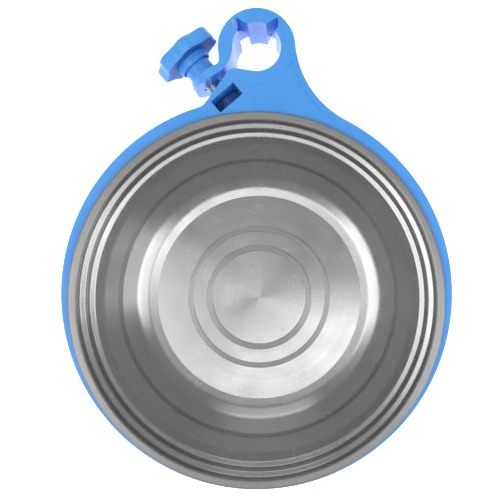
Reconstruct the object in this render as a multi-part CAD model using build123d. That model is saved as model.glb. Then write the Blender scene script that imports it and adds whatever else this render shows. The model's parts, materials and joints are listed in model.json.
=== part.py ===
from build123d import *
import os
from math import atan2, cos, degrees, pi, radians, sin, sqrt

os.makedirs("parts", exist_ok=True)

# A stainless bowl in a moulded ring holder with a C-clamp for an upright pole.
# Millimetres. The origin is on the clamp's bore axis at half its height, +Z is up
# along the bore, and the bowl hangs towards -Y.

# ---- driving dimensions ----------------------------------------------------------
CLAMP_HEIGHT = 35.0        # height of the clamp along the pole
BORE_R = 11.6              # clamp bore, for a tube of about 22 to 23 mm
CLAMP_WALL = 6.8           # radial wall of the C
CLAMP_REACH = 12.6         # outside of the C to the bowl's rim

BOWL_RIM_R = 89.0          # outside of the rolled rim (a 7 inch bowl)
BOWL_DEPTH = 31.5          # inside depth, from the rim's top to the floor
SHEET = 0.7                # stainless sheet
RIM_BEAD = 2.4             # height of the rolled rim
RIM_LAND = 3.4             # radial width of the rolled rim
FLOOR_R = 51.9             # flat of the bowl's floor
FLOOR_RINGS = ((33.8, 36.0), (24.0, 26.6))   # raised rings pressed in the floor
RING_RISE = 0.5
# outside of the rolled rim: in from its edge, and down from its top
RIM_ROLL = ((0.5, 0.45), (0.0, 1.2), (0.5, 2.05), (1.4, 2.4))
RIM_TOP_IN = 1.6           # where the rim's top starts, in from its edge
# inside below the rim's top land: in from the neck, and down from the rim's top
NECK_STEPS = ((-1.0, 0.2), (0.0, 1.2), (0.3, 3.4), (1.2, 4.4), (2.6, 4.8))
NECK_STEPS += ((3.4, 5.8), (3.9, 8.2), (4.8, 9.0), (6.2, 9.5))
WALL_START = (7.4, 10.9)   # where the curved wall starts, measured the same way
# the wall below the steps, as shares of its way inwards and of its way down
WALL_CURVE = ((0, 0), (0.235, 0.354), (0.313, 0.471), (0.445, 0.675), (0.625, 0.859), (0.828, 0.971), (1, 1))

RING_LIP = 0.5             # ring beyond the rim at the front, where it is narrowest
RING_OFFSET = 3.0          # ring outline is set towards the clamp by this much
RING_HEIGHT = 22.0         # height of the ring's collar
COLLAR_WALL = 3.0          # wall of the collar round the bowl
PLATE = 3.5                # thickness of the holder's top plate
WEB_BORDER = 3.0           # raised border and skirt of the web
WEB_LEFT = 38.0            # how far the web's hollows run to each side of the clamp
WEB_RIGHT = 46.0
WEB_OVER_CLAMP = 0.6       # they run this far over the clamp's circle
WEB_RECESS = 0.4           # how far the web's top lies below its border
BOSS_BORDER = 1.0          # flat top beside the nut's pocket
RIB = 2.5                  # stiffening ribs under the web
RIB_DEGS = (-90.0, -62.0, -38.0)
SLOPE_RUN = 27.6           # length over which the underside rises to the ring's
FLANK_R = 45.0             # concave flank from the clamp to the ring

NOTCH_WALL = 1.3           # thin wall outside each upper notch: where the C flexes
LOWER_NOTCH_WALL = 2.2     # wall outside each lower notch
UPPER_LAYER = 19.0         # height of the layer that has the V-shaped notches
TOOTH_EDGE_DEG = 68.0      # notch edges, as angles round the bore from +X
ROOT_NEAR_DEG = 54.5
ROOT_FAR_DEG = 45.3
WALL_EDGE_DEG = 40.5
FLEX_SLIT = 0.2            # slit between the arm and the holder at the flexure

TONGUE_WALL = 3.9          # thickness of the clamp arm's tongue
TONGUE_DEG = 208.5         # direction in which the tongue runs
TONGUE_REACH = 8.3         # tongue's end beyond the screw axis
TONGUE_CORNER_R = 13.0     # upper and lower corners of the tongue
TONGUE_SCREW_GAP = 16.7    # screw axis: from the nut's centre back to the tongue's outer face
NECK_OUT_DEG = 181.0       # where the neck leaves the C, outside and inside
NECK_IN_DEG = 185.0
NECK_OUT_LEAN = 0.1        # how far the neck leans outwards on its way down to the tongue
NECK_IN_LEAN = -0.14
NECK_FILLET_R = 2.5
NECK_INNER_R = 14.0

SCREW_DEG = -49.5          # direction of the clamp screw, from the knob to the nut
NUT_DEG = 239.7            # where the nut lies, as an angle round the bore
NUT_STANDOFF = 9.5         # nut's centre outside the C's circle
SCREW_D = 8.0              # M8
SCREW_PITCH = 1.25
NUT_AF = 13.0
NUT_HEIGHT = 6.5
NUT_CHAMFER = 1.6          # length of the chamfer at each end of the nut
NUT_FACE = 0.96            # round end face, as a share of the width across flats
POCKET_GAP = 0.25          # nut to pocket, each side
POCKET_SIDE_GAP = 0.45
THREAD_GAP = 0.05          # running fit between the screw and the nut
SCREW_HOLE_GAP = 0.6       # screw to the holes in the tongue and the holder
SCREW_TIP = 5.0            # screw's end beyond the nut's centre
SCREW_TIP_CHAMFER = 1.0
TIP_ROOM = 8.2             # blind hole's end beyond the nut's centre
GAP_FACE_DEG = 234.0       # direction of the holder's face in the gap
GAP_FACE_BACK = 7.0        # that face, back from the nut's centre along the screw
GAP_CORNER_R = 4.2
HUMP_DEG = 261.0           # where the bore's circle ends and the hump beside the gap starts
HUMP_RISE = 0.16
GAP_ROOT_R = 6.0

WASHER_R = 9.0
WASHER_T = 1.6
WASHER_HOLE_GAP = 0.2
WASHER_SPOT_GAP = 0.6      # washer to the flat spot faced for it on the tongue
SEAT_GAP = 0.5             # washer to the tongue's seat before tightening
HUB_GAP = 0.15             # knob's hub to the washer

KNOB_R = 16.8              # over the lobes
KNOB_VALLEY_R = 14.8
KNOB_LOBES = 7
KNOB_PHASE_DEG = 5.0       # first lobe, from straight up
POINTS_PER_LOBE = 8
KNOB_WIDTH = 7.5           # width of the gripping rim
KNOB_WALL = 1.6
KNOB_BACK = 2.6            # thickness of the knob's back
COLLAR_R = 8.5             # raised collar round the hub
COLLAR_RISE = 4.1          # collar in front of the rim
HUB_R = 6.75
HUB_GROOVE = 3.0           # depth of the groove between collar and hub
HUB_GROOVE_WIDTH = 0.7
HUB_LENGTH = 10.4          # hub in front of the rim
HEAD_AF = 13.0             # screw's hexagon head, pressed into the knob's back
HEAD_HEIGHT = 5.3
HEAD_SINK = 0.6            # head below the knob's back

BOWL_GAP = 0.3             # bowl wall to the ring, all round

CLEAR = 12.0               # a cut runs this far past the face that it opens

# ---- worked out from the driving dimensions ---------------------------------------
TOP = CLAMP_HEIGHT / 2
BOTTOM = -CLAMP_HEIGHT / 2
CLAMP_R = BORE_R + CLAMP_WALL
LAYER_Z = TOP - UPPER_LAYER
BOWL_Y = -(CLAMP_R + CLAMP_REACH + BOWL_RIM_R)
RING_Y = BOWL_Y + RING_OFFSET
RING_R = BOWL_RIM_R + RING_LIP + RING_OFFSET
NECK_R = BOWL_RIM_R - RIM_LAND
RING_BORE_R = NECK_R + BOWL_GAP
COLLAR_OUT_R = RING_BORE_R + COLLAR_WALL
RIM_TOP = TOP + RIM_BEAD
SLIT_DEG = (ROOT_NEAR_DEG + ROOT_FAR_DEG) / 2
SCREW_R = SCREW_D / 2
HOLE_R = SCREW_R + SCREW_HOLE_GAP

AXIS = Vector(cos(radians(SCREW_DEG)), sin(radians(SCREW_DEG)), 0)
ACROSS = Vector(-AXIS.Y, AXIS.X, 0)
NUT_R = CLAMP_R + NUT_STANDOFF
NUT_CENTRE = Vector(NUT_R * cos(radians(NUT_DEG)), NUT_R * sin(radians(NUT_DEG)), 0)
TONGUE = Vector(cos(radians(TONGUE_DEG)), sin(radians(TONGUE_DEG)), 0)
TONGUE_NORMAL = Vector(-TONGUE.Y, TONGUE.X, 0)

SEAT = -TONGUE_SCREW_GAP              # positions along the screw, from the nut's centre
WASHER_FRONT = SEAT - SEAT_GAP
HUB_END = WASHER_FRONT - WASHER_T - HUB_GAP
KNOB_FRONT = HUB_END - HUB_LENGTH
KNOB_REAR = KNOB_FRONT - KNOB_WIDTH


def polar(radius, angle, centre=(0, 0)):
    """A point at an angle in degrees round a centre."""
    return (centre[0] + radius * cos(radians(angle)), centre[1] + radius * sin(radians(angle)))


def on_screw(distance):
    """A point on the screw's axis, from the nut's centre."""
    return NUT_CENTRE + AXIS * distance


def screw_plane(distance):
    """A plane across the screw, its normal from the knob to the nut and its Y up."""
    return Plane(origin=on_screw(distance), x_dir=ACROSS, z_dir=AXIS)


def rod(radius, start, end):
    """A round bar along the screw's axis."""
    return extrude(screw_plane(start) * Circle(radius), end - start)


def hexagon_bar(across_flats, start, end):
    """A hexagon bar along the screw's axis, with two flats upright."""
    corner_r = across_flats / sqrt(3)
    return extrude(screw_plane(start) * RegularPolygon(corner_r, 6, rotation=90), end - start)


def meet(point_a, along_a, point_b, along_b):
    """Where two lines in the XY plane cross."""
    across = along_a.X * along_b.Y - along_a.Y * along_b.X
    apart = point_b - point_a
    return point_a + along_a * ((apart.X * along_b.Y - apart.Y * along_b.X) / across)


def slab(face, low, high):
    """A face in the XY plane made solid between two heights."""
    return extrude(Pos(0, 0, low) * face, high - low)


# ---- notches round the bore ---------------------------------------------------------
def upper_notch():
    """The V-shaped notch: its sides open towards the bore."""
    root_r = CLAMP_R - NOTCH_WALL
    corners = [(0, 0), polar(BORE_R, TOOTH_EDGE_DEG), polar(root_r, ROOT_NEAR_DEG)]
    corners += [polar(root_r, ROOT_FAR_DEG), polar(BORE_R, WALL_EDGE_DEG)]
    return make_face(Polyline(*corners, close=True))


def lower_notch():
    """The wider notch with a round root, below a step."""
    root_r = CLAMP_R - LOWER_NOTCH_WALL
    far = polar(root_r, WALL_EDGE_DEG)
    near = polar(root_r, TOOTH_EDGE_DEG)
    middle = polar(root_r, (WALL_EDGE_DEG + TOOTH_EDGE_DEG) / 2)
    sides = Line((0, 0), far) + ThreePointArc(far, middle, near) + Line(near, (0, 0))
    return make_face(sides)


def notches():
    upper = slab(upper_notch(), LAYER_Z, TOP + 1)
    lower = slab(lower_notch(), BOTTOM - 1, LAYER_Z)
    right = upper + lower
    return right + mirror(right, about=Plane.YZ)


# ---- clamp arm ------------------------------------------------------------------------
def arm_plan():
    """Outline of the flexing arm: most of the C, its neck and its tongue."""
    outer_face = on_screw(SEAT)
    inner_face = outer_face + TONGUE_NORMAL * TONGUE_WALL
    tip = outer_face + TONGUE * TONGUE_REACH
    neck_out = Vector(*polar(CLAMP_R, NECK_OUT_DEG))
    neck_in = Vector(*polar(BORE_R, NECK_IN_DEG))
    corner_out = meet(neck_out, Vector(NECK_OUT_LEAN, -1), outer_face, TONGUE)
    corner_in = meet(neck_in, Vector(NECK_IN_LEAN, -1), inner_face, TONGUE)
    tip_in = tip + TONGUE_NORMAL * TONGUE_WALL
    start_out = polar(CLAMP_R, SLIT_DEG)
    start_in = polar(BORE_R, SLIT_DEG)
    half_way = (SLIT_DEG + NECK_OUT_DEG) / 2
    edges = ThreePointArc(start_out, polar(CLAMP_R, half_way), neck_out)
    edges += Polyline(neck_out, corner_out, tip, tip_in, corner_in, neck_in)
    edges += ThreePointArc(neck_in, polar(BORE_R, half_way), start_in)
    edges += Line(start_in, start_out)
    face = make_face(edges)
    face = fillet(face.vertices().sort_by_distance(corner_out)[0:1], NECK_FILLET_R)
    return fillet(face.vertices().sort_by_distance(corner_in)[0:1], NECK_INNER_R)


def tongue_corner_cut():
    """What is left outside the tongue's rounded upper and lower corners."""
    inset = TONGUE_REACH - TONGUE_CORNER_R
    height = TOP - TONGUE_CORNER_R
    plane = Plane(origin=on_screw(SEAT), x_dir=TONGUE, z_dir=TONGUE.cross(Vector(0, 0, 1)))
    square = Pos(inset + TONGUE_CORNER_R, height + TONGUE_CORNER_R) * Rectangle(
        2 * TONGUE_CORNER_R, 2 * TONGUE_CORNER_R)
    corner = square - Pos(inset, height) * Circle(TONGUE_CORNER_R)
    corner -= Pos(inset - TONGUE_CORNER_R, height) * Rectangle(2 * TONGUE_CORNER_R, 4 * TONGUE_CORNER_R)
    corner -= Pos(inset, height - TONGUE_CORNER_R) * Rectangle(4 * TONGUE_CORNER_R, 2 * TONGUE_CORNER_R)
    upper = extrude(plane * corner, TONGUE_CORNER_R, both=True)
    return upper + mirror(upper, about=Plane.XY)


def flexure_slit():
    """The thin slit at the root of the right-hand notch, where the C bends."""
    outwards = (Align.MIN, Align.CENTER, Align.CENTER)
    return Rot(0, 0, SLIT_DEG) * Box(CLAMP_R + CLEAR, FLEX_SLIT, CLAMP_HEIGHT + 2, align=outwards)


def make_clamp_arm():
    body = slab(arm_plan(), BOTTOM, TOP)
    body -= notches()
    body -= flexure_slit()
    body -= tongue_corner_cut()
    body -= rod(WASHER_R + WASHER_SPOT_GAP, SEAT - CLEAR, SEAT)
    body -= rod(HOLE_R, SEAT - CLEAR, SEAT + CLEAR)
    return body


# ---- holder -----------------------------------------------------------------------------
def gap_line(distance):
    """A point on the holder's face in the gap, from the screw's axis towards the ring."""
    along = Vector(cos(radians(GAP_FACE_DEG)), sin(radians(GAP_FACE_DEG)), 0)
    return on_screw(-GAP_FACE_BACK) + along * distance


def flank_centre():
    """Centre of the flank's arc, which touches the clamp's circle and the ring's."""
    near = CLAMP_R + FLANK_R
    far = RING_R + FLANK_R
    height = (far ** 2 - near ** 2 - RING_Y ** 2) / (-2 * RING_Y)
    return (sqrt(near ** 2 - height ** 2), height)


def web_plan():
    """The clamp's fixed side and the web that joins it to the ring."""
    centre = flank_centre()
    clamp_touch = degrees(atan2(centre[1], centre[0]))
    ring_touch = degrees(atan2(centre[1] - RING_Y, centre[0]))
    flank_start = polar(CLAMP_R, clamp_touch)
    flank_end = polar(RING_R, ring_touch, (0, RING_Y))
    flank_middle = polar(FLANK_R, (clamp_touch + ring_touch) / 2 + 180, centre)
    hump = Vector(*polar(BORE_R, HUMP_DEG))
    corner = meet(gap_line(0), gap_line(1) - gap_line(0), hump, Vector(-1, HUMP_RISE))
    inside = gap_line(2 * CLAMP_REACH + GAP_ROOT_R)
    slit_out = polar(CLAMP_R, SLIT_DEG)
    slit_in = polar(BORE_R, SLIT_DEG)
    edges = ThreePointArc(slit_out, polar(CLAMP_R, (SLIT_DEG + clamp_touch) / 2), flank_start)
    edges += ThreePointArc(flank_start, flank_middle, flank_end)
    edges += Polyline(flank_end, (0, RING_Y), inside, corner, hump)
    edges += ThreePointArc(hump, polar(BORE_R, (SLIT_DEG + HUMP_DEG - 360) / 2), slit_in)
    edges += Line(slit_in, slit_out)
    face = make_face(edges)
    return fillet(face.vertices().sort_by_distance(corner)[0:1], GAP_CORNER_R)


def holder_plan():
    """The whole outline seen from above, without the bowl's opening."""
    ring = Pos(0, RING_Y) * Circle(RING_R)
    face = web_plan() + ring
    near = face.vertices().sort_by_distance(gap_line(CLAMP_REACH))[0:1]
    return fillet(near, GAP_ROOT_R)


def web_inside():
    """The web's area inside its border, clear of the clamp, the collar and the nut's boss."""
    flank = Pos(flank_centre()) * Circle(FLANK_R + WEB_BORDER)
    gap_side = Pos(gap_line(0)) * Rot(0, 0, GAP_FACE_DEG) * Rectangle(2 * RING_R, 2 * WEB_BORDER)
    area = web_plan() - flank - gap_side
    area += Pos(0, RING_Y) * Circle(RING_R - WEB_BORDER)
    window = Pos((WEB_RIGHT - WEB_LEFT) / 2, 0) * Rectangle(WEB_LEFT + WEB_RIGHT, -2 * RING_Y)
    area = area & window
    area -= Circle(CLAMP_R - WEB_OVER_CLAMP)
    area -= Pos(0, BOWL_Y) * Circle(COLLAR_OUT_R)
    boss = Pos(NUT_CENTRE) * Rot(0, 0, SCREW_DEG) * Rectangle(
        NUT_HEIGHT + 4 * WEB_BORDER, NUT_AF + 2 * WEB_BORDER)
    return area - boss


def under_web_cut(area):
    """The hollows under the web, between its ribs."""
    cut = slab(area, BOTTOM - 1, TOP - PLATE)
    outwards = (Align.MIN, Align.CENTER, Align.CENTER)
    for angle in RIB_DEGS:
        cut -= Rot(0, 0, angle) * Box(-BOWL_Y, RIB, CLAMP_HEIGHT, align=outwards)
    return cut


def top_recess(area):
    """The shallow recess on top of the web, which stops beside the nut's pocket."""
    stop = NUT_AF / 2 + POCKET_SIDE_GAP + BOSS_BORDER
    half_plane = Pos(0, stop - RING_R) * Rectangle(4 * RING_R, 2 * RING_R)
    screw_side = Pos(NUT_CENTRE) * Rot(0, 0, SCREW_DEG) * half_plane
    return slab(area - screw_side, TOP - WEB_RECESS, TOP + 1)


def underside_slope():
    """What lies below the holder's underside, which rises from the clamp to the ring."""
    ring_low = TOP - RING_HEIGHT
    rise_end = -CLAMP_R - SLOPE_RUN
    beyond = RING_Y - RING_R - CLEAR
    outline = [(-CLAMP_R, BOTTOM), (rise_end, ring_low), (beyond, ring_low)]
    outline += [(beyond, BOTTOM - CLEAR), (-CLAMP_R, BOTTOM - CLEAR)]
    side = Plane.YZ * make_face(Polyline(*outline, close=True))
    return extrude(side, 2 * RING_R, both=True)


def make_holder():
    plan = holder_plan()
    opening = Pos(0, BOWL_Y) * Circle(RING_BORE_R)
    collar = Pos(0, BOWL_Y) * Circle(COLLAR_OUT_R)
    body = slab(plan, TOP - PLATE, TOP)
    body += slab(web_plan(), BOTTOM, TOP)
    body += slab(collar, TOP - RING_HEIGHT, TOP)
    body -= underside_slope()
    body -= slab(opening, BOTTOM - 1, TOP + 1)
    area = web_inside()
    body -= under_web_cut(area)
    body -= top_recess(area)
    body -= Cylinder(BORE_R, CLAMP_HEIGHT + 2)
    body -= notches()
    body -= flexure_slit()
    body -= nut_pocket()
    body -= rod(HOLE_R, -GAP_FACE_BACK - CLEAR, TIP_ROOM)
    return body


def nut_pocket():
    """The slot that the nut drops into from above."""
    width = NUT_AF + 2 * POCKET_SIDE_GAP
    depth = NUT_HEIGHT + 2 * POCKET_GAP
    low = -NUT_AF / sqrt(3) - POCKET_GAP
    plan = Pos(NUT_CENTRE) * Rot(0, 0, SCREW_DEG) * Rectangle(depth, width)
    return slab(plan, low, TOP + 1)


# ---- bowl -------------------------------------------------------------------------------
def bowl_profile():
    """Inner surface from the rim's top down to the middle, as radius and depth."""
    neck = NECK_R - SHEET
    floor = -BOWL_DEPTH
    points = [(BOWL_RIM_R - RIM_TOP_IN, 0)]
    points += [(neck - inward, -down) for inward, down in NECK_STEPS]
    foot_r = neck - WALL_START[0]
    foot_z = -WALL_START[1]
    for inward, down in WALL_CURVE:
        points.append((foot_r + (FLOOR_R - foot_r) * inward, foot_z + (floor - foot_z) * down))
    for inner, outer in FLOOR_RINGS:
        raised = floor + RING_RISE
        points += [(outer + RING_RISE, floor), (outer, raised), (inner, raised), (inner - RING_RISE, floor)]
    return points + [(0, floor)]


def make_bowl():
    inner = bowl_profile()
    outer = [(r + SHEET * 0.8 if r >= FLOOR_R else r, z - SHEET) for r, z in inner[3:]]
    rim = [(BOWL_RIM_R - inward, -down) for inward, down in RIM_ROLL]
    rim += [(RING_BORE_R, -RIM_BEAD), (NECK_R, -RIM_BEAD - SHEET / 7)]
    outline = [inner[0]] + rim + outer + inner[:0:-1]
    section = Plane.XZ * make_face(Polyline(*outline, close=True))
    body = revolve(section, Axis.Z)
    return Pos(0, BOWL_Y, RIM_TOP) * body


# ---- clamp screw, nut and washer -----------------------------------------------------------
def make_clamp_screw():
    head_end = KNOB_REAR + HEAD_SINK + HEAD_HEIGHT
    shank = rod(SCREW_R, head_end - 1, SCREW_TIP)
    rims = shank.edges().filter_by(GeomType.CIRCLE).sort_by_distance(on_screw(SCREW_TIP))
    shank = chamfer(rims[0:1], SCREW_TIP_CHAMFER)
    return shank + hexagon_bar(HEAD_AF, KNOB_REAR + HEAD_SINK, head_end)


def make_clamp_nut():
    half = NUT_HEIGHT / 2
    body = hexagon_bar(NUT_AF, -half, half)
    corner_r = NUT_AF / sqrt(3)
    chamfer_from = half - NUT_CHAMFER
    for side in (1, -1):
        plane = Plane(origin=on_screw(side * chamfer_from), z_dir=AXIS * side)
        cone = plane * Solid.make_cone(corner_r + NUT_CHAMFER, NUT_AF / 2 * NUT_FACE, NUT_CHAMFER)
        body &= cone + rod(corner_r + NUT_CHAMFER, -side * NUT_HEIGHT, side * chamfer_from)
    return body - rod(SCREW_R + THREAD_GAP, -NUT_HEIGHT, NUT_HEIGHT)


def make_clamp_washer():
    body = rod(WASHER_R, WASHER_FRONT - WASHER_T, WASHER_FRONT)
    return body - rod(SCREW_R + WASHER_HOLE_GAP, WASHER_FRONT - 2 * WASHER_T, WASHER_FRONT + WASHER_T)


# ---- knob -------------------------------------------------------------------------------------
def lobed_outline(grow):
    """A closed curve with rounded lobes."""
    middle = (KNOB_R + KNOB_VALLEY_R) / 2 + grow
    swing = (KNOB_R - KNOB_VALLEY_R) / 2
    count = KNOB_LOBES * POINTS_PER_LOBE
    points = []
    for step in range(count):
        turn = 2 * pi * step / count
        radius = middle + swing * cos(KNOB_LOBES * turn)
        points.append((radius * sin(turn), radius * cos(turn)))
    return make_face(Spline(*points, periodic=True))


def make_knob():
    turned = Rot(0, 0, -KNOB_PHASE_DEG)
    body = extrude(screw_plane(KNOB_REAR) * turned * lobed_outline(0), KNOB_WIDTH)
    hollow_start = KNOB_REAR + KNOB_BACK
    body -= extrude(screw_plane(hollow_start) * turned * lobed_outline(-KNOB_WALL), KNOB_WIDTH)
    body += rod(COLLAR_R, KNOB_REAR + 1, KNOB_FRONT + COLLAR_RISE)
    groove = KNOB_FRONT + COLLAR_RISE - HUB_GROOVE
    body -= rod(HUB_R + HUB_GROOVE_WIDTH, groove, KNOB_FRONT + COLLAR_RISE + 1)
    body += rod(HUB_R, groove - 1, HUB_END)
    body -= hexagon_bar(HEAD_AF, KNOB_REAR - 1, KNOB_REAR + HEAD_SINK + HEAD_HEIGHT)
    return body - rod(SCREW_R, KNOB_REAR, HUB_END + 1)


PARTS = {
    "holder": make_holder,
    "clamp_arm": make_clamp_arm,
    "bowl": make_bowl,
    "knob": make_knob,
    "clamp_screw": make_clamp_screw,
    "clamp_washer": make_clamp_washer,
    "clamp_nut": make_clamp_nut,
}

for name, make in PARTS.items():
    shape = make()
    export_step(shape, "parts/" + name + ".step")
    print(name, round(shape.volume), "mm3")

flexure = Vector(*polar(CLAMP_R - NOTCH_WALL / 2, SLIT_DEG))
across_screw = abs((on_screw(0) - flexure).dot(ACROSS))
print("flexure at", round(flexure.X, 2), round(flexure.Y, 2), "lever", round(across_screw, 2))
print("nut at", round(NUT_CENTRE.X, 3), round(NUT_CENTRE.Y, 3), "axis", round(AXIS.X, 6), round(AXIS.Y, 6))
print("radians of knob per metre of screw", round(2 * pi / SCREW_PITCH * 1000, 1))
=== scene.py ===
# %% [markdown]
# # A clamp-on stainless bowl
#
# A feeding bowl for a cage or a playpen. A pressed stainless bowl drops into a
# blue moulded ring. The ring's arm is a C-clamp for an upright pole, and a star
# knob with a screw closes it. The CAD model already fixes every size and joint,
# so this lesson is about surface: edges, steel, plastic, threads and light.

import json
from math import atan2, cos, pi, radians, sin, sqrt, tau

import bmesh
import bpy
from mathutils import Matrix, Vector


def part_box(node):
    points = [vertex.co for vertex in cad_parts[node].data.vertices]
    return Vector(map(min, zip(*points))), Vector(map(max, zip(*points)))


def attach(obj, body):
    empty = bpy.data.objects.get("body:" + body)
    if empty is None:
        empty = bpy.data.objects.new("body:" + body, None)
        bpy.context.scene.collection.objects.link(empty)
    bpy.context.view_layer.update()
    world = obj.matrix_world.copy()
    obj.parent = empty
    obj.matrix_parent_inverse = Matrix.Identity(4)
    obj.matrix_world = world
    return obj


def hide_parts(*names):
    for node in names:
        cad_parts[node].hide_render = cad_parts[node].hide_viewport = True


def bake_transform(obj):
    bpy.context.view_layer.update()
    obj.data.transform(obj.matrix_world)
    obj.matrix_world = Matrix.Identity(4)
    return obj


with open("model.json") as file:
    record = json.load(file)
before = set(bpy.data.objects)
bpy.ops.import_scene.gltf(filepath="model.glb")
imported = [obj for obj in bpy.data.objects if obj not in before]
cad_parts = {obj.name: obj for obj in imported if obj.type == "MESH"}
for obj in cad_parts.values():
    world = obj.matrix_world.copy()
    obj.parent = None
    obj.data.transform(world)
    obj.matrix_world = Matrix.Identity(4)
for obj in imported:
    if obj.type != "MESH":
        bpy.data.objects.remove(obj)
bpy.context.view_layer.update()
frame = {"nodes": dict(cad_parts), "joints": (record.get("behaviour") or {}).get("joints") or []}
MM = 0.001
joints = {joint["name"]: joint for joint in frame["joints"]}
print("nodes:", sorted(frame["nodes"]))
print("joints:", sorted(joints))

# %% [markdown]
# Three places are needed again and again: the bowl's axis, the screw's axis and
# the thin wall where the clamp's arm bends. They are read from the frame, so
# they stay right when the CAD model changes.

# %% Places read from the frame
bowl_low, bowl_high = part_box("bowl")
BOWL_CENTRE = Vector(((bowl_low.x + bowl_high.x) / 2, (bowl_low.y + bowl_high.y) / 2, 0))
RIM_R = (bowl_high.x - bowl_low.x) / 2
RIM_TOP = bowl_high.z
NUT = Vector(joints["knob_turn"]["pos_m"])
ALONG = Vector(joints["knob_turn"]["axis"]).normalized()
UP = Vector((0, 0, 1))
SCREW_FRAME = Matrix.Translation(NUT) @ Matrix((UP.cross(ALONG), UP, ALONG)).transposed().to_4x4()
FLEXURE = Vector(joints["arm_flex"]["pos_m"])
holder_low, holder_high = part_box("holder")
HOLDER_TOP = holder_high.z
HOLDER_BOTTOM = holder_low.z


def span_on_screw(node):
    """Where a node starts and ends along the screw, measured from the nut."""
    places = [(vertex.co - NUT).dot(ALONG) for vertex in frame["nodes"][node].data.vertices]
    return min(places), max(places)


print("bowl axis", BOWL_CENTRE, "rim radius", round(RIM_R, 4))
print("knob along the screw", [round(place, 4) for place in span_on_screw("knob")])

# %% [markdown]
# ## Finishes
#
# A material is a small graph of nodes. These helpers keep each graph short: one
# adds a node, one makes noise at a real size, and one turns it into a bump of a
# real height. All patterns read Object coordinates, so they stay on the piece
# when it moves.

# %% Material helpers
def new_material(name, colour, roughness, metallic=0.0):
    """A material with one Principled shader, and that shader."""
    material = bpy.data.materials.new(name)
    material.use_nodes = True
    shader = material.node_tree.nodes["Principled BSDF"]
    shader.inputs["Base Color"].default_value = (*colour, 1)
    shader.inputs["Roughness"].default_value = roughness
    shader.inputs["Metallic"].default_value = metallic
    return material, shader


def add_node(material, kind, **inputs):
    """A node, with its inputs linked or set by name."""
    node = material.node_tree.nodes.new(kind)
    for name, value in inputs.items():
        socket = node.inputs[name.replace("_", " ")]
        if isinstance(value, bpy.types.NodeSocket):
            material.node_tree.links.new(value, socket)
        else:
            socket.default_value = value
    return node


def link(material, output, socket):
    material.node_tree.links.new(output, socket)


def noise(material, vector, size, detail=3.0, roughness=0.55):
    """Noise whose blobs are about size across, in metres."""
    node = add_node(material, "ShaderNodeTexNoise", Vector=vector, Scale=1 / size,
                    Detail=detail, Roughness=roughness)
    return node.outputs["Fac"]


def spread(material, value, low, high):
    """Noise stretched so that it runs from low to high."""
    node = add_node(material, "ShaderNodeMapRange", Value=value)
    node.inputs["From Min"].default_value = 0.3
    node.inputs["From Max"].default_value = 0.7
    node.inputs["To Min"].default_value = low
    node.inputs["To Max"].default_value = high
    return node.outputs["Result"]


def bump(material, height, depth, normal=None):
    """A bump that stands depth metres high."""
    node = add_node(material, "ShaderNodeBump", Height=height, Distance=depth, Strength=1.0)
    if normal is not None:
        link(material, normal, node.inputs["Normal"])
    return node.outputs["Normal"]


def object_coordinates(material):
    return add_node(material, "ShaderNodeTexCoord").outputs["Object"]


# %% [markdown]
# The blue parts are moulded polypropylene. Up close the mould leaves a very fine
# grain and long shallow waves, the gloss is uneven where hands rub it, and the
# colour drifts a little where the melt flowed. Four layers of noise, each at its
# own real size, give that. The upright walls of the holder slid along polished
# steel as it left the mould, so they are glossier than its top: the roughness
# follows how upright the surface stands. A little light also sinks into the
# plastic and comes out beside where it went in, which makes thin walls glow.

# %% Blue moulded plastic
BLUE = (0.098, 0.405, 0.93)
DEEP_BLUE = (0.078, 0.365, 0.88)
COLOUR_DRIFT = 22 * MM
HAND_RUB = 3.5 * MM
MOULD_GRAIN = 0.35 * MM
FLOW_WAVES = 9 * MM
LIGHT_SINKS = 2.5 * MM
STILL_UPRIGHT = 0.8


def moulded_plastic(name, colour, deep, gloss, wall_gloss):
    """Plastic with one roughness on flat faces and another on upright ones."""
    material, shader = new_material(name, colour, gloss)
    place = object_coordinates(material)
    cloud = noise(material, place, COLOUR_DRIFT, detail=2)
    shade = add_node(material, "ShaderNodeMix", Factor=spread(material, cloud, 0.0, 1.0))
    shade.data_type = "RGBA"
    shade.inputs["A"].default_value = (*colour, 1)
    shade.inputs["B"].default_value = (*deep, 1)
    link(material, shade.outputs["Result"], shader.inputs["Base Color"])
    facing = add_node(material, "ShaderNodeSeparateXYZ",
                      Vector=add_node(material, "ShaderNodeTexCoord").outputs["Normal"])
    upright = add_node(material, "ShaderNodeMath")
    upright.operation = "ABSOLUTE"
    link(material, facing.outputs["Z"], upright.inputs[0])
    satin = add_node(material, "ShaderNodeMapRange", Value=upright.outputs["Value"])
    satin.inputs["From Max"].default_value = STILL_UPRIGHT
    satin.inputs["To Min"].default_value = wall_gloss
    satin.inputs["To Max"].default_value = gloss
    rub = noise(material, place, HAND_RUB, detail=5)
    worn = add_node(material, "ShaderNodeMath")
    worn.operation = "ADD"
    link(material, satin.outputs["Result"], worn.inputs[0])
    link(material, spread(material, rub, -0.04, 0.08), worn.inputs[1])
    link(material, worn.outputs["Value"], shader.inputs["Roughness"])
    grain = noise(material, place, MOULD_GRAIN, detail=2)
    waviness = noise(material, place, FLOW_WAVES, detail=1)
    normal = bump(material, waviness, 0.03 * MM)
    normal = bump(material, grain, 0.006 * MM, normal)
    link(material, normal, shader.inputs["Normal"])
    shader.inputs["IOR"].default_value = 1.49
    shader.inputs["Subsurface Weight"].default_value = 0.35
    shader.inputs["Subsurface Radius"].default_value = (0.25, 0.7, 1.0)
    shader.inputs["Subsurface Scale"].default_value = LIGHT_SINKS
    return material


holder_plastic = moulded_plastic("blue_moulded_plastic", BLUE, DEEP_BLUE, 0.38, 0.16)
knob_plastic = moulded_plastic("blue_knob_plastic", BLUE, DEEP_BLUE, 0.36, 0.36)
print("plastics:", holder_plastic.name, knob_plastic.name)

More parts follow.
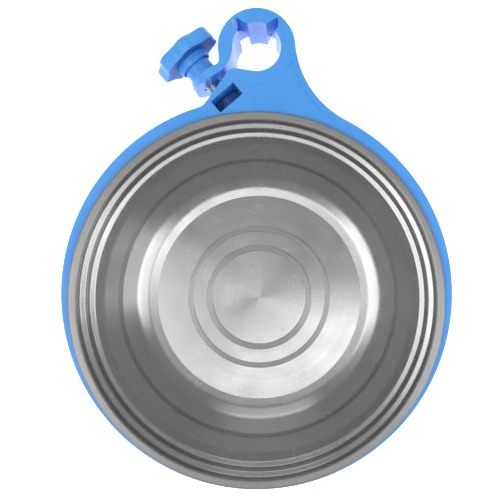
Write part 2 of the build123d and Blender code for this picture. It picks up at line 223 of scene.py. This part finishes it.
# %% [markdown]
# The bowl is spun or pressed from sheet and polished on a lathe, so its fine
# scratches run round it. Noise is sampled at (cos, sin) of the angle and at the
# radius, which draws it out into rings with no seam. Scratches that run round
# throw light along the radius, and the shader stretches a highlight along its
# tangent, so the tangent points away from the axis: that makes the fan of light
# and dark on the floor. The rim and the rings pressed in the floor are brushed
# more coarsely and keep a real bump.

# %% Stainless steel with turned brushing
BRUSHED = 0.7
LINE_DRIFT = 0.6
HAZE_SIZE = 14 * MM


def turned_steel(name, centre, colour, roughness, line_size, depth):
    """Steel brushed round an upright axis, with lines line_size wide and depth deep."""
    material, shader = new_material(name, colour, roughness, metallic=1.0)
    shift = add_node(material, "ShaderNodeVectorMath", Vector=object_coordinates(material))
    shift.operation = "SUBTRACT"
    shift.inputs[1].default_value = centre
    shader.inputs["Anisotropic"].default_value = BRUSHED
    parts = add_node(material, "ShaderNodeSeparateXYZ", Vector=shift.outputs["Vector"])
    flat = add_node(material, "ShaderNodeCombineXYZ", X=parts.outputs["X"], Y=parts.outputs["Y"])
    link(material, flat.outputs["Vector"], shader.inputs["Tangent"])
    length = add_node(material, "ShaderNodeVectorMath", Vector=flat.outputs["Vector"])
    length.operation = "LENGTH"
    unit = add_node(material, "ShaderNodeVectorMath", Vector=flat.outputs["Vector"])
    unit.operation = "NORMALIZE"
    small = add_node(material, "ShaderNodeVectorMath", Vector=unit.outputs["Vector"])
    small.operation = "SCALE"
    small.inputs["Scale"].default_value = LINE_DRIFT * line_size
    lift = add_node(material, "ShaderNodeMath")
    lift.operation = "SUBTRACT"
    link(material, length.outputs["Value"], lift.inputs[0])
    link(material, parts.outputs["Z"], lift.inputs[1])
    rings = add_node(material, "ShaderNodeSeparateXYZ", Vector=small.outputs["Vector"])
    place = add_node(material, "ShaderNodeCombineXYZ", X=rings.outputs["X"],
                     Y=rings.outputs["Y"], Z=lift.outputs["Value"]).outputs["Vector"]
    lines = noise(material, place, line_size, detail=3)
    haze = noise(material, object_coordinates(material), HAZE_SIZE, detail=4)
    both = add_node(material, "ShaderNodeMath")
    both.operation = "ADD"
    link(material, spread(material, haze, -0.02, 0.03), both.inputs[0])
    link(material, spread(material, lines, roughness - 0.01, roughness + 0.015), both.inputs[1])
    link(material, both.outputs["Value"], shader.inputs["Roughness"])
    if depth:
        link(material, bump(material, lines, depth), shader.inputs["Normal"])
    return material


STEEL = (0.41, 0.41, 0.405)
RIM_STEEL = (0.32, 0.32, 0.315)
bowl_steel = turned_steel("polished_stainless", BOWL_CENTRE, STEEL, 0.25, 1.0 * MM, 0)
rim_steel = turned_steel("brushed_stainless_rim", BOWL_CENTRE, RIM_STEEL, 0.45, 0.50 * MM, 0.003 * MM)
print("steels:", bowl_steel.name, rim_steel.name)

# %% [markdown]
# Screw, nut and washer are mild steel with bright zinc plate. It is paler and
# less even than stainless, with small dull patches.

# %% Bright zinc plate
ZINC = (0.63, 0.63, 0.60)
PALE_ZINC = (0.66, 0.66, 0.64)
DULL_ZINC = (0.54, 0.54, 0.50)
ZINC_PATCH = 2.0 * MM
ZINC_GRAIN = 0.25 * MM


def zinc_plate():
    material, shader = new_material("bright_zinc", ZINC, 0.3, metallic=1.0)
    place = object_coordinates(material)
    patches = noise(material, place, ZINC_PATCH, detail=5)
    link(material, spread(material, patches, 0.22, 0.45), shader.inputs["Roughness"])
    tint = add_node(material, "ShaderNodeMix", Factor=spread(material, patches, 0.0, 1.0))
    tint.data_type = "RGBA"
    tint.inputs["A"].default_value = (*PALE_ZINC, 1)
    tint.inputs["B"].default_value = (*DULL_ZINC, 1)
    link(material, tint.outputs["Result"], shader.inputs["Base Color"])
    grain = noise(material, place, ZINC_GRAIN)
    link(material, bump(material, grain, 0.003 * MM), shader.inputs["Normal"])
    return material


zinc = zinc_plate()
print("plating:", zinc.name)

# %% [markdown]
# ## The moulding
#
# The CAD node has the right shape, but its edges are perfectly sharp and its
# mesh is loose triangles. A moulding never has sharp edges. So a copy is made,
# its doubles are merged, its flat faces are joined up, and its sharp edges get a
# small bevel that catches the light. The CAD node itself isn't touched.

# %% Copy a CAD node with softened edges
SHARP = radians(38)
FLAT = radians(0.6)
DOUBLES = 0.002 * MM


def merged_copy(node):
    """A bmesh of the node with shared vertices and whole flat faces."""
    bm = bmesh.new()
    bm.from_mesh(frame["nodes"][node].data)
    bmesh.ops.remove_doubles(bm, verts=bm.verts, dist=DOUBLES)
    bmesh.ops.dissolve_limit(bm, angle_limit=FLAT, verts=bm.verts, edges=bm.edges)
    return bm


def sharp_edges(bm, wanted):
    """The edges between two faces that meet at a clear angle, if wanted says so."""
    found = []
    for edge in bm.edges:
        if len(edge.link_faces) == 2 and edge.calc_face_angle(0) > SHARP and wanted(edge):
            found.append(edge)
    return found


def soften(bm, edges, radius, segments=3):
    bmesh.ops.bevel(bm, geom=edges, offset=radius, offset_type="OFFSET", segments=segments,
                    profile=0.5, affect="EDGES", clamp_overlap=True, material=-1)


def finish_piece(bm, name, material, body, slot, *nodes):
    """Makes the bmesh a piece that rides on a body and stands for CAD nodes."""
    mesh = bpy.data.meshes.new(name)
    bm.to_mesh(mesh)
    bm.free()
    mesh.materials.append(material)
    mesh.polygons.foreach_set("use_smooth", [True] * len(mesh.polygons))
    mesh.set_sharp_from_angle(angle=SHARP)
    piece = bpy.data.objects.new(name, mesh)
    bpy.context.scene.collection.objects.link(piece)
    weights = piece.modifiers.new("even normals", "WEIGHTED_NORMAL")
    weights.keep_sharp = True
    if body:
        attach(piece, body)
    if nodes:
        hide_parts(*nodes)
    print(name, len(mesh.polygons), "faces")
    return piece


# %% [markdown]
# The holder and the clamp's arm are one moulding that bends at a thin wall. The
# CAD model has a slit there. Both copies are stretched to meet in the slit's
# middle, and those edges stay sharp so that no groove shows. The edges of the
# web's shallow recess are left as they are too, since a bevel would be as wide
# as the recess is deep.

# %% Holder and arm
FLEX_OUT = Vector((FLEXURE.x, FLEXURE.y, 0)).normalized()
FLEX_SIDE = UP.cross(FLEX_OUT)
SLIT_HALF = 0.1 * MM
SLIT_START = 10 * MM
EDGE_R = 0.55 * MM
RECESS_DEPTH = 0.6 * MM


def at_slit(point):
    """True for a point on one of the slit's two faces."""
    on_face = abs(abs(point.dot(FLEX_SIDE)) - SLIT_HALF) < SLIT_HALF / 2
    return on_face and point.dot(FLEX_OUT) > SLIT_START


def recess_edge(edge):
    """True for an edge of the web's shallow recess."""
    lowest = min(vertex.co.z for face in edge.link_faces for vertex in face.verts)
    return lowest > HOLDER_TOP - RECESS_DEPTH


def soft_moulding(node):
    """A copy with soft edges, drawn in to the middle of the slit."""
    bm = merged_copy(node)

    def main_edge(edge):
        on_slit = all(at_slit(vertex.co) for vertex in edge.verts)
        return not on_slit and not recess_edge(edge)

    soften(bm, sharp_edges(bm, main_edge), EDGE_R)
    for vertex in bm.verts:
        if at_slit(vertex.co):
            vertex.co -= FLEX_SIDE * vertex.co.dot(FLEX_SIDE)
    return bm


bm = soft_moulding("holder")
finish_piece(bm, "ring_holder", holder_plastic, "holder", "blue_plastic", "holder")
bm = soft_moulding("clamp_arm")
arm = finish_piece(bm, "clamp_arm_skin", holder_plastic, None, "blue_plastic", "clamp_arm")
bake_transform(arm)

# %% [markdown]
# ## The bowl
#
# A bowl is a turned shape, so only half of its section is drawn and spun round
# the axis. Every bend in pressed sheet has a radius, and on polished steel that
# radius is what the eye sees, because it decides how wide each reflection is. So
# the section is a list of corners, each with its own radius.

# %% A section with a radius at each corner
ARC_STEP = radians(9)


def rounded_section(corners):
    """Points (radius, height) along a path of (radius, height, bend) corners."""
    points = [Vector(corners[0][:2])]
    for before, corner, after in zip(corners, corners[1:], corners[2:]):
        here = Vector(corner[:2])
        back = (Vector(before[:2]) - here).normalized()
        ahead = (Vector(after[:2]) - here).normalized()
        turn = pi - back.angle(ahead)
        bend = corner[2]
        if bend == 0 or turn < radians(1):
            points.append(here)
            continue
        reach = bend * abs(sin(turn / 2) / cos(turn / 2))
        start = here + back * reach
        end = here + ahead * reach
        centre = here + (back + ahead).normalized() * (bend / cos(turn / 2))
        steps = max(2, round(turn / ARC_STEP))
        first = start - centre
        swing = first.angle_signed(end - centre)
        for step in range(steps + 1):
            points.append(centre + Matrix.Rotation(-swing * step / steps, 2) @ first)
    points.append(Vector(corners[-1][:2]))
    return points


def spun(section, steps):
    """A bmesh of a closed section spun a full turn round Z."""
    bm = bmesh.new()
    verts = [bm.verts.new((point.x, 0, point.y)) for point in section]
    edges = [bm.edges.new(pair) for pair in zip(verts, verts[1:])]
    edges.append(bm.edges.new((verts[-1], verts[0])))
    bmesh.ops.spin(bm, geom=verts + edges, axis=(0, 0, 1), cent=(0, 0, 0), angle=tau,
                   steps=steps, use_merge=True)
    bmesh.ops.remove_doubles(bm, verts=bm.verts, dist=DOUBLES)
    bmesh.ops.recalc_face_normals(bm, faces=bm.faces)
    return bm


# %% Bowl section
SHEET = 0.7 * MM
RIM_LAND = 4.1 * MM
RIM_BEAD = 2.3 * MM
BOWL_DEPTH = 31.5 * MM
NECK_R = RIM_R - RIM_LAND
FLOOR_Z = RIM_TOP - BOWL_DEPTH
PRESSED_RINGS = ((36.0, 33.8), (26.6, 24.0))
RING_RISE = 0.25 * MM
BOWL_STEPS = 192


def from_rim(inward, down, bend):
    """A corner given in millimetres inwards from the neck and down from the rim's top."""
    return (NECK_R - inward * MM, RIM_TOP - down * MM, bend * MM)


def bowl_section():
    """The rim's corners, and the inside's from the neck to the middle of the floor."""
    inside = [
        from_rim(0.0, 0.15, 1.2),
        from_rim(0.6, 4.3, 0.9),
        from_rim(3.2, 5.2, 0.9),
        from_rim(4.2, 8.9, 0.8),
        from_rim(6.6, 9.6, 1.2),
        from_rim(9.6, 14.0, 14),
        from_rim(15.4, 20.0, 0.8),
        from_rim(17.0, 22.6, 1.6),
        from_rim(23.7, 28.6, 8),
        from_rim(28.7, 30.8, 8),
        from_rim(33.0, 31.5, 0.8),
    ]
    rings = []
    for outer, inner in PRESSED_RINGS:
        rings.append(((outer + 0.2) * MM, FLOOR_Z, 0.1 * MM))
        rings.append((outer * MM, FLOOR_Z + RING_RISE, 0.3 * MM))
        rings.append((inner * MM, FLOOR_Z + RING_RISE, 0.3 * MM))
        rings.append(((inner - 0.2) * MM, FLOOR_Z, 0.1 * MM))
    path = inside + rings + [(0, FLOOR_Z, 0)]
    rim = [
        (NECK_R + 0.6 * MM, RIM_TOP - RIM_BEAD, 0),
        (RIM_R - 0.2 * MM, RIM_TOP - RIM_BEAD, 0.9 * MM),
        (RIM_R, RIM_TOP, 1.0 * MM),
    ]
    return rim, path


def underneath(corner):
    """The same corner on the sheet's other side, farther out where the wall slopes."""
    radius, height, bend = corner
    on_wall = radius > 50 * MM
    return (radius + 0.8 * SHEET if on_wall else radius, height - SHEET, bend)


rim, path = bowl_section()
upper = rounded_section(rim + path)
under_rim = (NECK_R + SHEET, RIM_TOP - RIM_BEAD - SHEET, 0.4 * MM)
under = rounded_section([rim[0], under_rim] + [underneath(corner) for corner in path[1:]])
bm = spun(upper + under[:0:-1], BOWL_STEPS)
bmesh.ops.translate(bm, verts=bm.verts, vec=BOWL_CENTRE)
bowl = finish_piece(bm, "steel_bowl", bowl_steel, "bowl", "stainless_steel", "bowl")
bowl.data.materials.append(rim_steel)
for polygon in bowl.data.polygons:
    radius = (polygon.center - BOWL_CENTRE).xy.length
    pressed = any(inner * MM < radius < outer * MM for outer, inner in PRESSED_RINGS)
    if radius > NECK_R - 0.1 * MM or pressed:
        polygon.material_index = 1

# %% [markdown]
# ## The knob
#
# A star knob has round lobes outside and a round hub inside. It is skinned over
# a row of rings that all have the same number of vertices, so each ring bridges
# cleanly to the next. A ring can be round, lobed or hexagonal, and seven lobes
# and six corners both divide 168 evenly.

# %% Rings that are round, lobed or hexagonal
KNOB_LOBES = 7
KNOB_TURN = radians(5)
RING_POINTS = 168


def round_ring(radius):
    return lambda angle: radius


def lobed_ring(radius, swing):
    return lambda angle: radius + swing * cos(KNOB_LOBES * (angle - KNOB_TURN))


def hexagon_ring(across_flats, limit=1.0):
    """A hexagon with two upright flats, its corners cut back to limit metres."""
    def radius(angle):
        within = (angle + pi / 2 + pi / 6) % (pi / 3) - pi / 6
        return min(across_flats / 2 / cos(within), limit)
    return radius


def add_ring(bm, place, shape, points=RING_POINTS):
    """A loop of vertices across the screw's axis. Angles run from straight up."""
    made = bmesh.ops.create_circle(bm, segments=points, radius=1.0)["verts"]
    for vertex in made:
        angle = atan2(vertex.co.x, vertex.co.y)
        radius = shape(angle)
        vertex.co = Vector((radius * sin(angle), radius * cos(angle), place))
    return made


def skin(bm, rings, closed=False):
    """Bridges each ring to the next."""
    def loop(verts):
        chosen = set(verts)
        return [edge for edge in bm.edges if edge.verts[0] in chosen and edge.verts[1] in chosen]

    loops = [loop(ring) for ring in rings]
    pairs = list(zip(loops, loops[1:]))
    if closed:
        pairs.append((loops[-1], loops[0]))
    for one, other in pairs:
        bmesh.ops.bridge_loops(bm, edges=one + other)
    bmesh.ops.recalc_face_normals(bm, faces=bm.faces)


# %% Knob
knob_back, knob_hub_end = span_on_screw("knob")
KNOB_SWING = 1.0 * MM
KNOB_MIDDLE_R = 15.8 * MM
KNOB_THICKNESS = 7.5 * MM
COLLAR_LENGTH = 4.1 * MM
knob_front = knob_back + KNOB_THICKNESS
collar_front = knob_front + COLLAR_LENGTH
HUB_R = 6.75 * MM
HEAD_AF = 13.0 * MM
SHANK_R = 4.0 * MM
knob_rings = [
    (knob_back + 5.9 * MM, round_ring(SHANK_R)),
    (knob_back + 5.9 * MM, hexagon_ring(HEAD_AF)),
    (knob_back + 0.35 * MM, hexagon_ring(HEAD_AF)),
    (knob_back, hexagon_ring(HEAD_AF + 0.6 * MM)),
    (knob_back, lobed_ring(KNOB_MIDDLE_R - 2.6 * MM, KNOB_SWING * 0.7)),
    (knob_back + 0.25 * MM, lobed_ring(KNOB_MIDDLE_R - 1.4 * MM, KNOB_SWING * 0.85)),
    (knob_back + 0.9 * MM, lobed_ring(KNOB_MIDDLE_R - 0.45 * MM, KNOB_SWING)),
    (knob_back + 1.9 * MM, lobed_ring(KNOB_MIDDLE_R, KNOB_SWING)),
    (knob_front - 0.6 * MM, lobed_ring(KNOB_MIDDLE_R, KNOB_SWING)),
    (knob_front - 0.15 * MM, lobed_ring(KNOB_MIDDLE_R - 0.18 * MM, KNOB_SWING)),
    (knob_front, lobed_ring(KNOB_MIDDLE_R - 0.6 * MM, KNOB_SWING)),
    (knob_front, lobed_ring(KNOB_MIDDLE_R - 1.2 * MM, KNOB_SWING)),
    (knob_front - 0.3 * MM, lobed_ring(KNOB_MIDDLE_R - 1.6 * MM, KNOB_SWING)),
    (knob_back + 3.1 * MM, lobed_ring(KNOB_MIDDLE_R - 1.9 * MM, KNOB_SWING)),
    (knob_back + 2.6 * MM, lobed_ring(KNOB_MIDDLE_R - 2.4 * MM, KNOB_SWING * 0.8)),
    (knob_back + 2.6 * MM, round_ring(9.2 * MM)),
    (knob_back + 2.9 * MM, round_ring(8.6 * MM)),
    (collar_front - 0.7 * MM, round_ring(8.5 * MM)),
    (collar_front - 0.2 * MM, round_ring(8.3 * MM)),
    (collar_front, round_ring(7.95 * MM)),
    (collar_front - 0.15 * MM, round_ring(7.55 * MM)),
    (collar_front - 3.0 * MM, round_ring(HUB_R + 0.7 * MM)),
    (collar_front - 3.0 * MM, round_ring(HUB_R)),
    (knob_hub_end - 0.3 * MM, round_ring(HUB_R)),
    (knob_hub_end, round_ring(HUB_R - 0.3 * MM)),
    (knob_hub_end, round_ring(SHANK_R)),
]
bm = bmesh.new()
skin(bm, [add_ring(bm, place, shape) for place, shape in knob_rings], closed=True)
bmesh.ops.transform(bm, matrix=SCREW_FRAME, verts=bm.verts)
finish_piece(bm, "star_knob", knob_plastic, "knob", "knob_plastic", "knob")

# %% [markdown]
# ## Screw, washer and nut
#
# A thread is a ridge that climbs one pitch in each turn. Here it is a fine tube
# whose radius depends on angle and height together, which gives a true helix
# with no seam. It fades out at the tip and below the head.

# %% Threaded screw
PITCH = 1.25 * MM
THREAD_DEPTH = 0.62 * MM
SCREW_POINTS = 48
RINGS_A_TURN = 10
screw_start, screw_tip = span_on_screw("clamp_screw")
thread_start = knob_hub_end - 2 * PITCH


def thread_ring(place):
    """Radius round the shank at one height: the ridge climbs with the angle."""
    fade_in = min(1.0, max(0.0, (place - thread_start) / PITCH))
    to_tip = screw_tip - place
    fade_out = min(1.0, max(0.0, (to_tip - 0.2 * MM) / PITCH))

    def radius(angle):
        phase = (place / PITCH - angle / tau) % 1.0
        ridge = min(1.0, max(0.0, abs(2 * phase - 1) * 1.25 - 0.12))
        groove = THREAD_DEPTH * (1 - ridge) * fade_in
        return min(SHANK_R - groove, SHANK_R - 0.9 * MM + to_tip, SHANK_R - groove * fade_out)
    return radius


def head_rings():
    """The hexagon head, from its chamfered face to the shank."""
    end = screw_start + 5.3 * MM
    chamfer = HEAD_AF * 0.485
    corner = HEAD_AF / sqrt(3)
    yield screw_start, round_ring(0.4 * chamfer)
    yield screw_start, round_ring(chamfer)
    yield screw_start + 0.35 * MM, hexagon_ring(HEAD_AF, chamfer + 0.5 * MM)
    yield screw_start + 0.9 * MM, hexagon_ring(HEAD_AF, corner)
    yield end, hexagon_ring(HEAD_AF, corner)
    yield end, round_ring(SHANK_R)


bm = bmesh.new()
rings = [add_ring(bm, place, shape, SCREW_POINTS) for place, shape in head_rings()]
shank_length = screw_tip - thread_start
count = round(shank_length / (PITCH / RINGS_A_TURN))
for step in range(count + 1):
    place = thread_start + shank_length * step / count
    rings.append(add_ring(bm, place, thread_ring(place), SCREW_POINTS))
skin(bm, rings)
bmesh.ops.holes_fill(bm, edges=[edge for edge in bm.edges if edge.is_boundary], sides=SCREW_POINTS)
bmesh.ops.recalc_face_normals(bm, faces=bm.faces)
bmesh.ops.transform(bm, matrix=SCREW_FRAME, verts=bm.verts)
finish_piece(bm, "threaded_screw", zinc, "knob", "zinc_steel", "clamp_screw")

# %% Washer and nut
bm = merged_copy("clamp_washer")
soften(bm, sharp_edges(bm, lambda edge: True), 0.2 * MM, 2)
finish_piece(bm, "flat_washer", zinc, "washer", "zinc_steel", "clamp_washer")
bm = merged_copy("clamp_nut")
soften(bm, sharp_edges(bm, lambda edge: True), 0.12 * MM, 2)
finish_piece(bm, "hex_nut", zinc, "holder", "zinc_steel", "clamp_nut")

# %% [markdown]
# ## Stage
#
# The bowl stands on a plain white table, which glows a little so that it stays
# white. Polished steel shows whatever is round it, so the lights are the
# picture: two large softboxes left and right make the bright arcs, a narrow one
# in front lights the near half of the floor, a weak one at the back lifts the
# near wall, and the dim pale room makes the grey between them.

# %% Floor
def stage_material(name, colour, roughness=0.6):
    """A pale matt surface that glows."""
    material, shader = new_material(name, colour, roughness)
    cloud = noise(material, object_coordinates(material), 30 * MM)
    matt = spread(material, cloud, roughness - 0.03, roughness + 0.03)
    link(material, matt, shader.inputs["Roughness"])
    shader.inputs["Specular IOR Level"].default_value = 0.2
    shader.inputs["Emission Color"].default_value = (1, 1, 1, 1)
    shader.inputs["Emission Strength"].default_value = 1.0
    return material


TABLE_HALF = 1.5
TABLE_GAP = 0.2 * MM
bm = bmesh.new()
bmesh.ops.create_grid(bm, x_segments=2, y_segments=2, size=TABLE_HALF)
bmesh.ops.translate(bm, verts=bm.verts, vec=(0, BOWL_CENTRE.y, HOLDER_BOTTOM - TABLE_GAP))
floor_mesh = bpy.data.meshes.new("floor")
bm.to_mesh(floor_mesh)
bm.free()
floor_mesh.materials.append(stage_material("white_table", (0.93, 0.93, 0.93)))
floor = bpy.data.objects.new("floor", floor_mesh)
bpy.context.scene.collection.objects.link(floor)

# %% Lights
def softbox(name, place, aim, size, power):
    """A rectangular light that the camera doesn't see, turned to its aim."""
    data = bpy.data.lights.new(name, "AREA")
    data.shape = "RECTANGLE"
    data.size, data.size_y = size
    data.energy = power
    lamp = bpy.data.objects.new(name, data)
    lamp.location = place
    lamp.visible_camera = False
    lamp.rotation_euler = (Vector(aim) - Vector(place)).to_track_quat("-Z", "Y").to_euler()
    bpy.context.scene.collection.objects.link(lamp)
    return lamp


ROOM_LIGHT = 0.35
SOFTBOXES = (
    ("left_softbox", (-0.50, -0.16, 0.80), (0.60, 0.60), 3.1),
    ("right_softbox", (0.70, -0.22, 0.66), (0.60, 0.60), 3.1),
    ("front_softbox", (0.06, -0.18, 0.95), (0.40, 0.18), 0.95),
    ("back_softbox", (-0.10, 0.70, 0.70), (0.60, 0.40), 1.0),
)
for name, from_bowl, size, power in SOFTBOXES:
    softbox(name, BOWL_CENTRE + Vector(from_bowl), BOWL_CENTRE, size, power)
world = bpy.data.worlds.new("pale_room")
world.use_nodes = True
world.node_tree.nodes["Background"].inputs["Color"].default_value = (0.93, 0.94, 0.95, 1)
world.node_tree.nodes["Background"].inputs["Strength"].default_value = ROOM_LIGHT
bpy.context.scene.world = world
print("softboxes:", [name for name, *rest in SOFTBOXES])

# %% [markdown]
# The camera looks straight down, a little off to one side of the bowl, so the
# clamp's walls and the side of the knob come into view.

# %% Camera
CAMERA_HEIGHT = 346 * MM
CAMERA_SIDE = 0.0158
CAMERA_BACK = 0.020
camera_data = bpy.data.cameras.new("camera")
camera_data.sensor_width = 36
camera_data.lens = 52.7
camera_data.shift_x = -0.08
camera_data.shift_y = 0.016
camera_data.clip_start = 0.01
camera = bpy.data.objects.new("camera", camera_data)
camera.location = (CAMERA_SIDE, BOWL_CENTRE.y + CAMERA_BACK, HOLDER_TOP + CAMERA_HEIGHT)
bpy.context.scene.collection.objects.link(camera)
bpy.context.scene.camera = camera
bpy.context.scene.view_settings.view_transform = "Standard"
print("camera at", camera.location)
